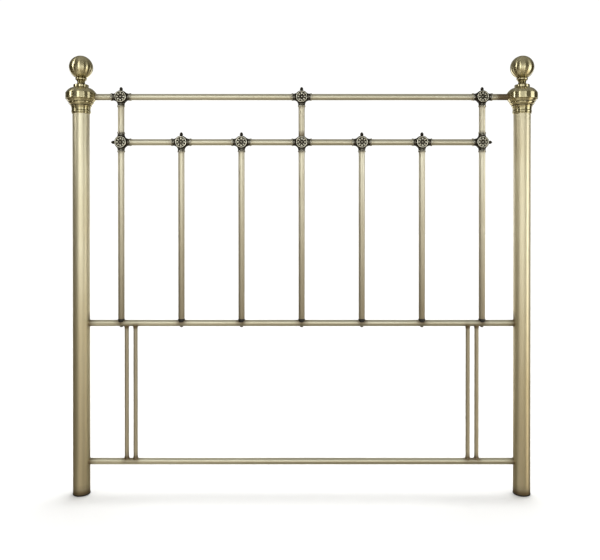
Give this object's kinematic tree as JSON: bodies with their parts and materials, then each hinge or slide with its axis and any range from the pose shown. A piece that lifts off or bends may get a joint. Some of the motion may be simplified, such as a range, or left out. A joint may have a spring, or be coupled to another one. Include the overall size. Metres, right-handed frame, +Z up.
{
  "type": "metal headboard",
  "caption": "Tubular metal headboard with ball finials on turned post collars, spindles held by flower castings, and slotted struts for bolting to a divan.",
  "frame": {"origin": "on the floor at the centre of the footprint, midway between the posts", "axes": "+X along the rails to the right as seen from the bed side's front, +Y out of the back, +Z up; the decorated front that faces the sleeper faces -Y"},
  "size_m": [1.448, 0.092, 1.3475],
  "materials": {
    "tube_antique_brass": "pale antique brass plate on steel tube, satin, under lacquer",
    "cast_antique_brass": "antique brass plate, polished and streaked round the turning",
    "dark_cast_brass": "blackened antique brass, rubbed bright on the raised relief",
    "bronzed_screw": "bronzed",
    "black_plastic": "matte, lightly grained",
    "washer_nylon": "dark nylon, satin",
    "zinc_steel": "zinc plated"
  },
  "bodies": {
    "frame": {"top_rail": "tube_antique_brass", "second_rail": "tube_antique_brass", "lower_rail": "tube_antique_brass", "bottom_rail": "tube_antique_brass", "post_left": "tube_antique_brass", "post_right": "tube_antique_brass", "short_spindle_left": "tube_antique_brass", "short_spindle_centre": "tube_antique_brass", "short_spindle_right": "tube_antique_brass", "spindle_1": "tube_antique_brass", "spindle_2": "tube_antique_brass", "spindle_3": "tube_antique_brass", "spindle_4": "tube_antique_brass", "spindle_5": "tube_antique_brass", "spindle_6": "tube_antique_brass", "spindle_7": "tube_antique_brass", "slot_bar_left_inner": "tube_antique_brass", "slot_bar_left_outer": "tube_antique_brass", "slot_bar_right_inner": "tube_antique_brass", "slot_bar_right_outer": "tube_antique_brass", "collar_left": "cast_antique_brass", "collar_right": "cast_antique_brass", "casting_top_left": "dark_cast_brass", "casting_top_centre": "dark_cast_brass", "casting_top_right": "dark_cast_brass", "casting_1": "dark_cast_brass", "casting_2": "dark_cast_brass", "casting_3": "dark_cast_brass", "casting_4": "dark_cast_brass", "casting_5": "dark_cast_brass", "casting_6": "dark_cast_brass", "casting_7": "dark_cast_brass", "spindle_screw_1": "bronzed_screw", "spindle_screw_2": "bronzed_screw", "spindle_screw_3": "bronzed_screw", "spindle_screw_4": "bronzed_screw", "spindle_screw_5": "bronzed_screw", "spindle_screw_6": "bronzed_screw", "spindle_screw_7": "bronzed_screw", "foot_cap_left": "black_plastic", "foot_cap_right": "black_plastic", "spindle_plug_1": "black_plastic", "spindle_plug_2": "black_plastic", "spindle_plug_3": "black_plastic", "spindle_plug_4": "black_plastic", "spindle_plug_5": "black_plastic", "spindle_plug_6": "black_plastic", "spindle_plug_7": "black_plastic", "finial_nut_left": "zinc_steel", "finial_nut_right": "zinc_steel"},
    "washer_left": {"finial_washer_left": "washer_nylon"},
    "finial_left": {"finial_left": "cast_antique_brass", "finial_stud_left": "zinc_steel"},
    "washer_right": {"finial_washer_right": "washer_nylon"},
    "finial_right": {"finial_right": "cast_antique_brass", "finial_stud_right": "zinc_steel"}
  },
  "joints": [
    {"name": "finial_lift_left", "type": "slide", "parent": "frame", "child": "washer_left", "axis": [0, 0, 1], "range_m": [0, 0.012]},
    {"name": "finial_turn_left", "type": "hinge", "parent": "washer_left", "child": "finial_left", "pos_m": [-0.678, 0, 1.25], "axis": [0, 0, 1], "range_deg": [0, 2880]},
    {"name": "finial_lift_right", "type": "slide", "parent": "frame", "child": "washer_right", "axis": [0, 0, 1], "range_m": [0, 0.012]},
    {"name": "finial_turn_right", "type": "hinge", "parent": "washer_right", "child": "finial_right", "pos_m": [0.678, 0, 1.25], "axis": [0, 0, 1], "range_deg": [0, 2880]}
  ],
  "couplings": [
    {"joint": "finial_lift_left", "follows": "finial_turn_left", "m_per_rad": 0.00023873},
    {"joint": "finial_lift_right", "follows": "finial_turn_right", "m_per_rad": 0.00023873}
  ]
}
